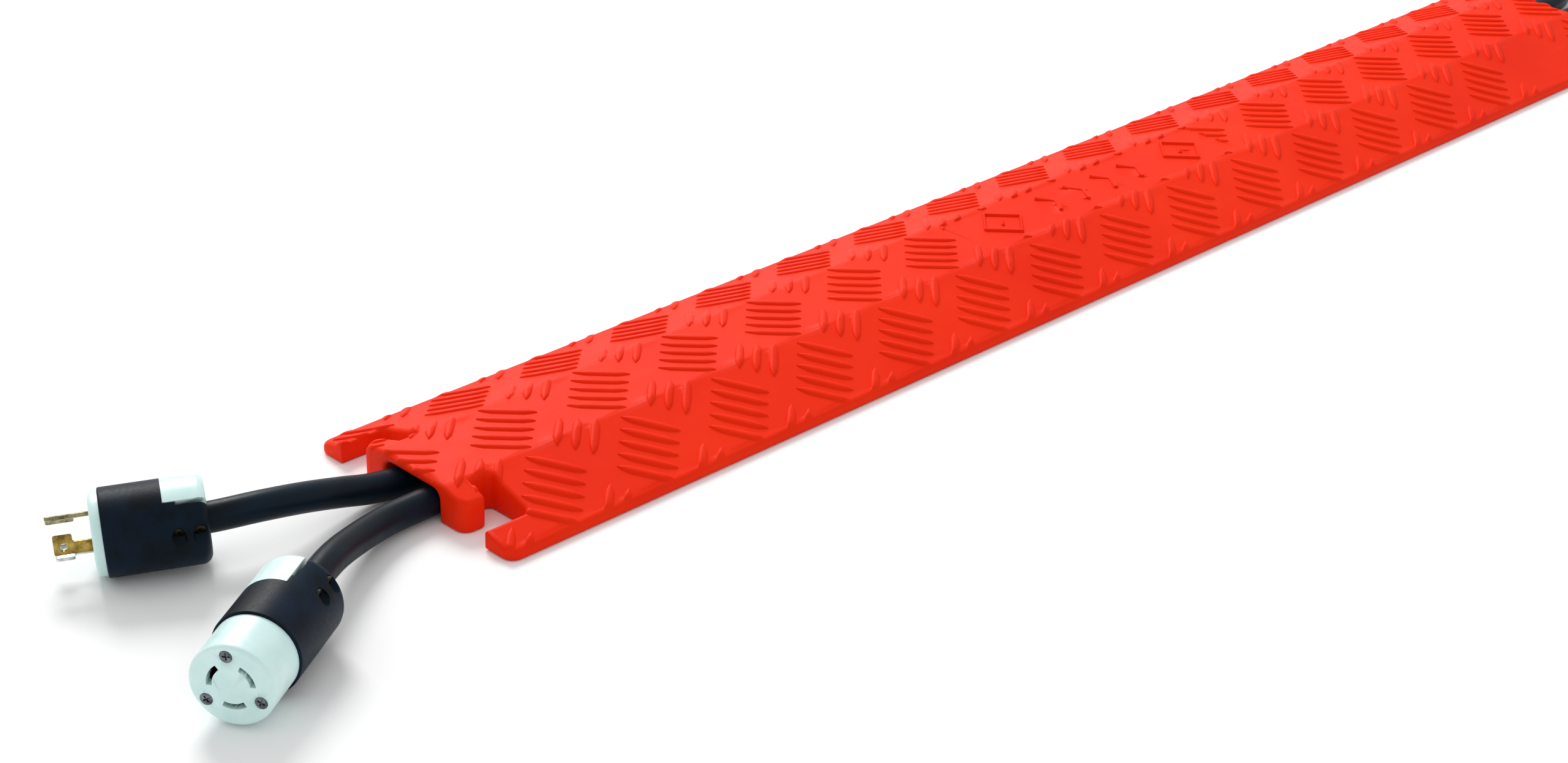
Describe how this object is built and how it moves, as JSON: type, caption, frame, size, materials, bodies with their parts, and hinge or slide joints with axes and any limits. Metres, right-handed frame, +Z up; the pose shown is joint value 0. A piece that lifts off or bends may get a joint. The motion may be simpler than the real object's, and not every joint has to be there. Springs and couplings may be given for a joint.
{
  "type": "cable protector ramp",
  "caption": "Low drop-over cable ramp with one channel, bar tread and hooked interlocking ends, lying over a twist-lock extension cord with its plug and connector.",
  "frame": {"origin": "middle of the ramp's footprint, on the ground", "axes": "+X along the ramp towards its pocket end, +Y across it, +Z up"},
  "size_m": [1.248, 0.1726, 0.0404],
  "materials": {
    "ramp_orange": "moulded polyurethane, semi-matt",
    "cord_jacket": "smooth rubber jacket, slight sheen",
    "housing_black": "fine moulded texture",
    "nylon_white": "moulded nylon, slightly translucent",
    "blade_brass": "stamped brass",
    "blade_nickel": "nickel-plated brass",
    "blade_ground": "stamped brass, dull",
    "screw_zinc": "zinc-plated steel",
    "screw_brass": "blackened brass",
    "screw_dark": "dark steel",
    "wire_black": "insulated wire",
    "wire_white": "insulated wire",
    "wire_green": "insulated wire"
  },
  "bodies": {
    "cord_set": {"cord": "cord_jacket", "plug_housing": "housing_black", "plug_front": "nylon_white", "plug_clamp": "nylon_white", "plug_blade_line": "blade_brass", "plug_blade_neutral": "blade_nickel", "plug_blade_ground": "blade_ground", "plug_terminal_screws": "screw_zinc", "plug_clamp_screws": "screw_brass", "plug_assembly_screws": "screw_dark", "plug_wire_line": "wire_black", "plug_wire_neutral": "wire_white", "plug_wire_ground": "wire_green", "connector_housing": "housing_black", "connector_front": "nylon_white", "connector_clamp": "nylon_white", "connector_contact_line": "blade_brass", "connector_contact_neutral": "blade_nickel", "connector_contact_ground": "blade_ground", "connector_terminal_screws": "screw_zinc", "connector_clamp_screws": "screw_brass", "connector_assembly_screws": "screw_dark", "connector_wire_line": "wire_black", "connector_wire_neutral": "wire_white", "connector_wire_ground": "wire_green"},
    "ramp": {"ramp_body": "ramp_orange"}
  },
  "joints": [
    {"name": "ramp_lift", "type": "slide", "parent": "cord_set", "child": "ramp", "axis": [0, 0, 1], "range_m": [0, 0.1]}
  ]
}
